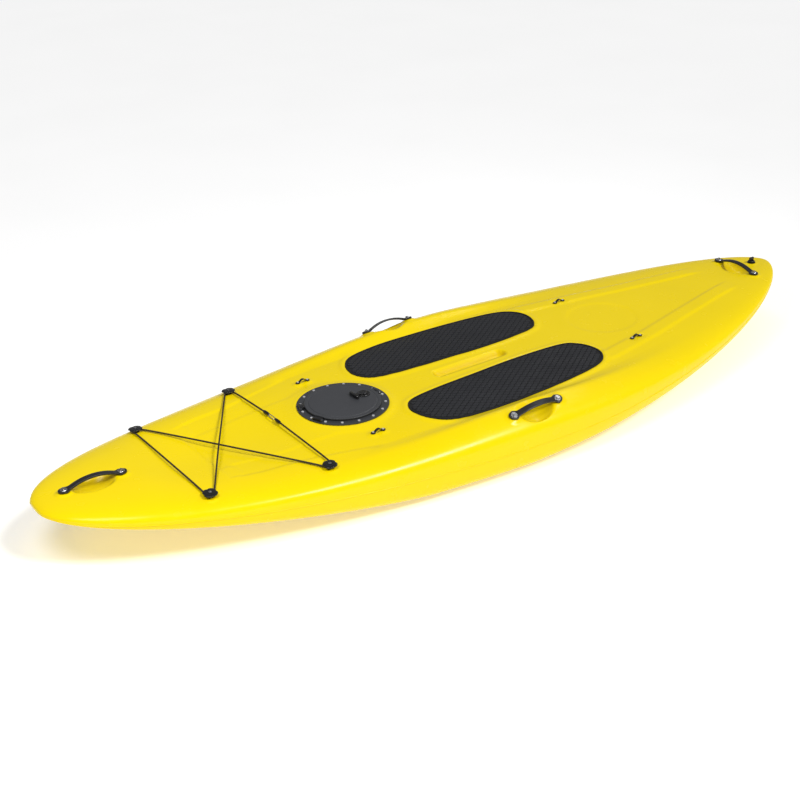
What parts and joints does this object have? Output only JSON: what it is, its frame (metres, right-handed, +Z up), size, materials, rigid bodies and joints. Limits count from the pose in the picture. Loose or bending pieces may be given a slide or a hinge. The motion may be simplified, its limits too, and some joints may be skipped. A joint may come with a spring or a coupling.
{
  "type": "sit-on-top kayak",
  "caption": "Board-style sit-on-top kayak with foam deck pads, round hatch, strap handles, bow bungee, pad eyes and a drain plug.",
  "frame": {"origin": "bottom centre of the object's box, on the level of the keel's flat, midway between bow and stern", "axes": "+X to the bow, +Y to port, +Z up"},
  "size_m": [3.25, 1.0256, 0.2523],
  "materials": {
    "hull_plastic": "bright yellow rotomoulded polyethylene, semi-gloss, fine moulded grain",
    "hatch_plastic": "dark grey nylon",
    "lid_plastic": "slate grey moulded plastic",
    "seal_rubber": "black sealing rubber",
    "stainless": "stainless steel",
    "fitting_plastic": "black nylon",
    "deck_foam": "charcoal EVA foam with cut diamond grooves",
    "strap_rubber": "black moulded rubber strap",
    "brass_insert": "brass",
    "bungee": "braided sleeve over shock cord"
  },
  "bodies": {
    "hull": {"bow_handle": "strap_rubber", "bungee_button_bow_port": "fitting_plastic", "bungee_button_bow_starboard": "fitting_plastic", "bungee_button_stern_port": "fitting_plastic", "bungee_button_stern_starboard": "fitting_plastic", "bungee_cord": "bungee", "bungee_link": "stainless", "bungee_sleeve_port": "fitting_plastic", "bungee_sleeve_starboard": "fitting_plastic", "button_inserts": "brass_insert", "button_screws": "stainless", "drain_socket": "fitting_plastic", "eye_inserts": "brass_insert", "eye_screws": "stainless", "handle_inserts": "brass_insert", "handle_screws": "stainless", "handle_washers": "stainless", "hatch_gasket": "seal_rubber", "hatch_hinge_pin": "stainless", "hatch_ring": "hatch_plastic", "hatch_ring_screws": "stainless", "hull": "hull_plastic", "latch_pins": "stainless", "pad_eye_bow_port": "fitting_plastic", "pad_eye_bow_starboard": "fitting_plastic", "pad_eye_stern_port": "fitting_plastic", "pad_eye_stern_starboard": "fitting_plastic", "pad_port": "deck_foam", "pad_starboard": "deck_foam", "port_handle": "strap_rubber", "starboard_handle": "strap_rubber", "stern_handle": "strap_rubber"},
    "lid": {"hatch_lid": "lid_plastic", "lid_lock_base": "fitting_plastic"},
    "lid_lock": {"lid_lock_lever": "fitting_plastic", "lid_lock_cam": "fitting_plastic", "lid_lock_nut": "stainless"},
    "latch_port": {"hatch_latch_port": "fitting_plastic"},
    "latch_starboard": {"hatch_latch_starboard": "fitting_plastic"},
    "plug_seal": {"drain_plug_seal": "seal_rubber"},
    "plug": {"drain_plug": "fitting_plastic"}
  },
  "joints": [
    {"name": "lid_hinge", "type": "hinge", "parent": "hull", "child": "lid", "pos_m": [0.3635, 0, 0.21381], "axis": [0, -1, 0], "range_deg": [0, 110]},
    {"name": "lid_lock_turn", "type": "hinge", "parent": "lid", "child": "lid_lock", "pos_m": [0.4195, 0, 0.21681], "axis": [0, 0, 1], "range_deg": [0, 90]},
    {"name": "latch_port_hinge", "type": "hinge", "parent": "hull", "child": "latch_port", "pos_m": [0.64308, 0.0574, 0.21281], "axis": [-0.3827, 0.9239, 0], "range_deg": [0, 100]},
    {"name": "latch_starboard_hinge", "type": "hinge", "parent": "hull", "child": "latch_starboard", "pos_m": [0.64308, -0.0574, 0.21281], "axis": [0.3827, 0.9239, 0], "range_deg": [0, 100]},
    {"name": "plug_rise", "type": "slide", "parent": "hull", "child": "plug_seal", "axis": [0.0018, 0, 1], "range_m": [0, 0.00901]},
    {"name": "plug_turn", "type": "hinge", "parent": "plug_seal", "child": "plug", "pos_m": [-1.545, 0, 0.2257], "axis": [0.0018, 0, 1], "range_deg": [0, 1080]}
  ],
  "couplings": [
    {"joint": "plug_rise", "follows": "plug_turn", "m_per_rad": 0.00047746}
  ]
}
